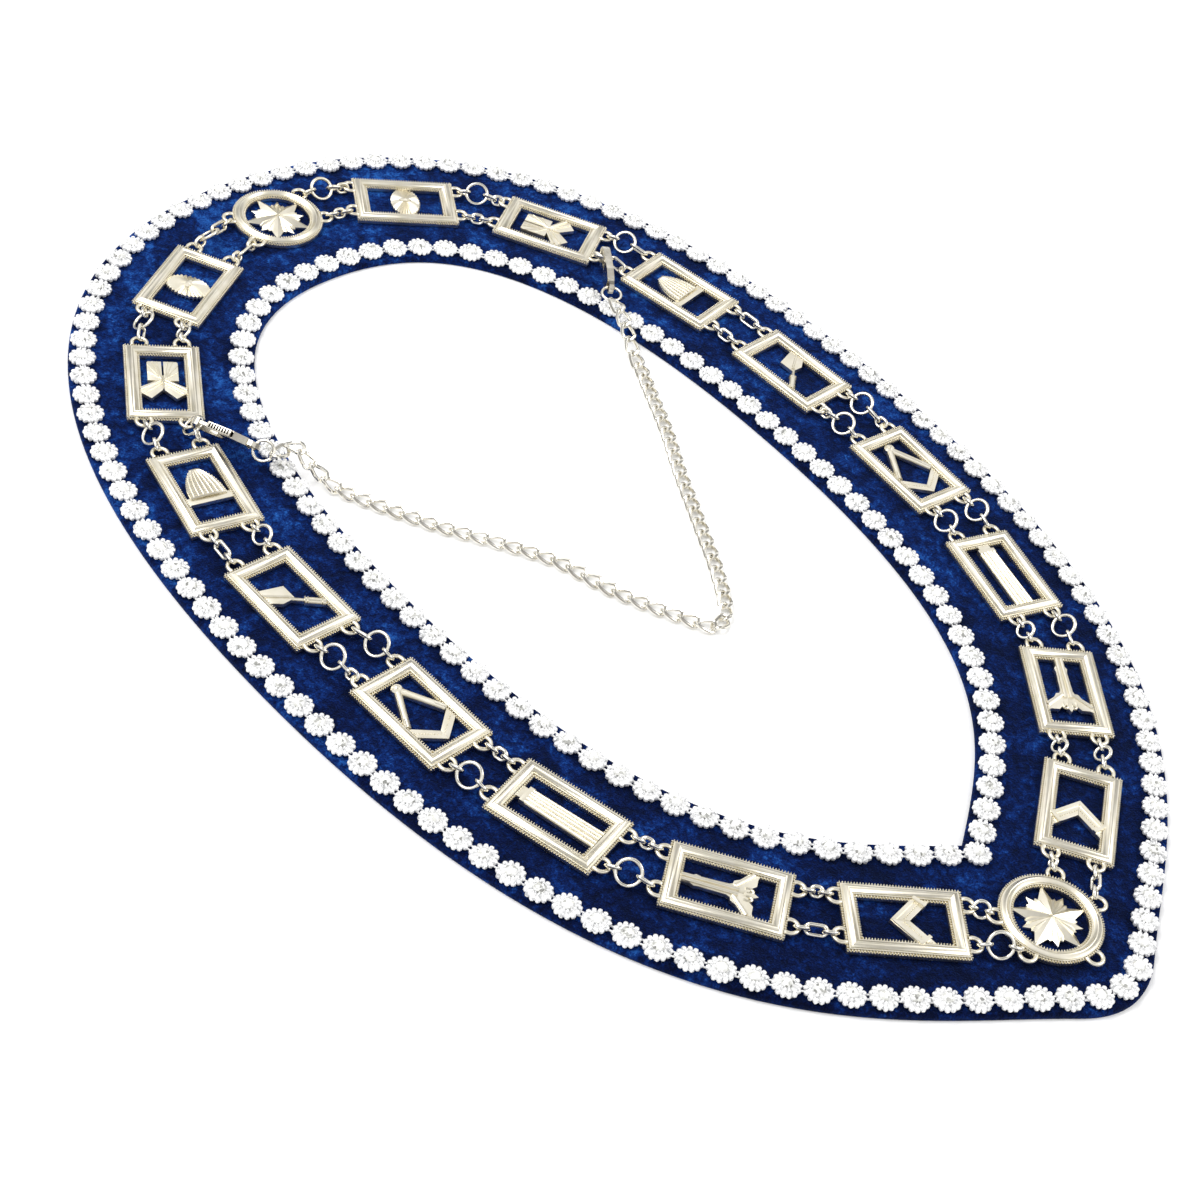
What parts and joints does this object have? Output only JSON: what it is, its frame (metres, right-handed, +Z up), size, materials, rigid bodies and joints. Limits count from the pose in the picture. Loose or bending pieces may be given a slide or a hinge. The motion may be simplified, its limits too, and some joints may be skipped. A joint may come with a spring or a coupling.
{
  "type": "chain collar",
  "caption": "Ceremonial chain collar: pierced metal plates and round star medallions linked by rings on a velvet band edged with stones, with a clasped safety chain.",
  "frame": {"origin": "middle of the collar's outline, on the surface it lies on", "axes": "+Y to the back of the neck, -Y to the front point, +X to the wearer's left when worn face out, +Z up out of the surface"},
  "size_m": [0.3334, 0.5206, 0.0157],
  "materials": {
    "velvet": "royal blue velvet with a short mottled nap",
    "stones": "clear cut stones in bright silver cup settings",
    "plate_silver": "bright silver plate with a faint warm cast, stamped relief",
    "wire_silver": "polished silver-plated wire",
    "clasp_silver": "satin silver-plated casting"
  },
  "bodies": {
    "collar": {"velvet_backing": "velvet", "rhinestone_string_outer": "stones", "rhinestone_string_inner": "stones", "plate_right_1": "plate_silver", "plate_left_1": "plate_silver", "plate_right_2": "plate_silver", "plate_left_2": "plate_silver", "plate_right_3": "plate_silver", "plate_left_3": "plate_silver", "plate_right_4": "plate_silver", "plate_left_4": "plate_silver", "plate_right_5": "plate_silver", "plate_left_5": "plate_silver", "plate_right_6": "plate_silver", "plate_left_6": "plate_silver", "plate_right_7": "plate_silver", "plate_left_7": "plate_silver", "plate_right_8": "plate_silver", "plate_left_8": "plate_silver", "medallion_front": "plate_silver", "medallion_back": "plate_silver", "links_right_2_outer": "wire_silver", "links_right_2_inner": "wire_silver", "links_left_2_outer": "wire_silver", "links_left_2_inner": "wire_silver", "links_right_3_outer": "wire_silver", "links_right_3_inner": "wire_silver", "links_left_3_outer": "wire_silver", "links_left_3_inner": "wire_silver", "links_right_4_outer": "wire_silver", "links_right_4_inner": "wire_silver", "links_left_4_outer": "wire_silver", "links_left_4_inner": "wire_silver", "links_right_5_outer": "wire_silver", "links_right_5_inner": "wire_silver", "links_left_5_outer": "wire_silver", "links_left_5_inner": "wire_silver", "links_right_6_outer": "wire_silver", "links_right_6_inner": "wire_silver", "links_left_6_outer": "wire_silver", "links_left_6_inner": "wire_silver", "links_right_7_outer": "wire_silver", "links_right_7_inner": "wire_silver", "links_left_7_outer": "wire_silver", "links_left_7_inner": "wire_silver", "links_right_8_outer": "wire_silver", "links_right_8_inner": "wire_silver", "links_left_8_outer": "wire_silver", "links_left_8_inner": "wire_silver", "links_right_9_outer": "wire_silver", "links_right_9_inner": "wire_silver", "links_left_9_outer": "wire_silver", "links_left_9_inner": "wire_silver", "clasp_right": "clasp_silver", "clasp_left": "clasp_silver", "safety_chain": "wire_silver"},
    "lever_right": {"clasp_lever_right": "clasp_silver"},
    "lever_left": {"clasp_lever_left": "clasp_silver"}
  },
  "joints": [
    {"name": "lever_right_hinge", "type": "hinge", "parent": "collar", "child": "lever_right", "pos_m": [0.09798, 0.12312, 0.00932], "axis": [0.8069, -0.5907, 0], "range_deg": [0, 22], "stiffness_Nm_per_rad": 0.01, "springref_deg": -20.05},
    {"name": "lever_left_hinge", "type": "hinge", "parent": "collar", "child": "lever_left", "pos_m": [-0.1045, 0.11896, 0.01202], "axis": [-0.7283, -0.3553, -0.586], "range_deg": [0, 22], "stiffness_Nm_per_rad": 0.01, "springref_deg": -20.05}
  ]
}
